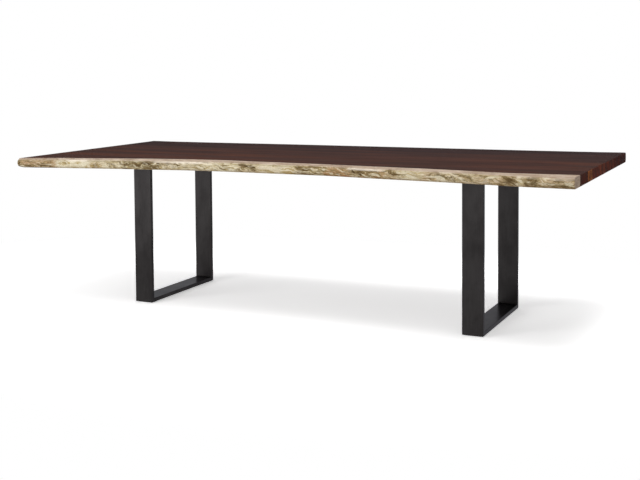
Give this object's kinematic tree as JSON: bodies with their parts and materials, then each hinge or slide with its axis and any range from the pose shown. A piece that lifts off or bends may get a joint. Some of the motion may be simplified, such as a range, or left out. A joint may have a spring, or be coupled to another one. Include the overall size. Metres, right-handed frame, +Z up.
{
  "type": "live edge dining table",
  "caption": "Long dining table: a glued-up solid wood top with natural wandering long edges, bolted to rectangular leg frames of flat steel bar.",
  "frame": {"origin": "on the floor, under the middle of the top's overall length and depth", "axes": "+Z up, X along the table's length with the left end at -X, +Y from the front edge to the rear edge"},
  "size_m": [2.76, 1.392, 0.762],
  "materials": {
    "heartwood": "satin, dark red-brown heartwood with fine straight grain",
    "live_edge_wood": "satin heartwood with a pale cream sapwood band along the natural edge",
    "leg_steel": "satin dark gunmetal powder coat",
    "weld_steel": "satin dark gunmetal powder coat over weld",
    "bolt_steel": "black oxide",
    "insert_brass": "plain",
    "pad_rubber": "matte black solid rubber strip"
  },
  "bodies": {
    "root": {"front_live_edge_board": "live_edge_wood", "heartwood_board_1": "heartwood", "heartwood_board_2": "heartwood", "heartwood_board_3": "heartwood", "heartwood_board_4": "heartwood", "heartwood_board_5": "heartwood", "rear_live_edge_board": "live_edge_wood", "left_front_post": "leg_steel", "left_rear_post": "leg_steel", "left_floor_runner": "leg_steel", "left_top_rail": "leg_steel", "left_frame_welds": "weld_steel", "left_rail_bolts": "bolt_steel", "left_threaded_inserts": "insert_brass", "left_floor_pads": "pad_rubber", "right_front_post": "leg_steel", "right_rear_post": "leg_steel", "right_floor_runner": "leg_steel", "right_top_rail": "leg_steel", "right_frame_welds": "weld_steel", "right_rail_bolts": "bolt_steel", "right_threaded_inserts": "insert_brass", "right_floor_pads": "pad_rubber"}
  },
  "joints": []
}
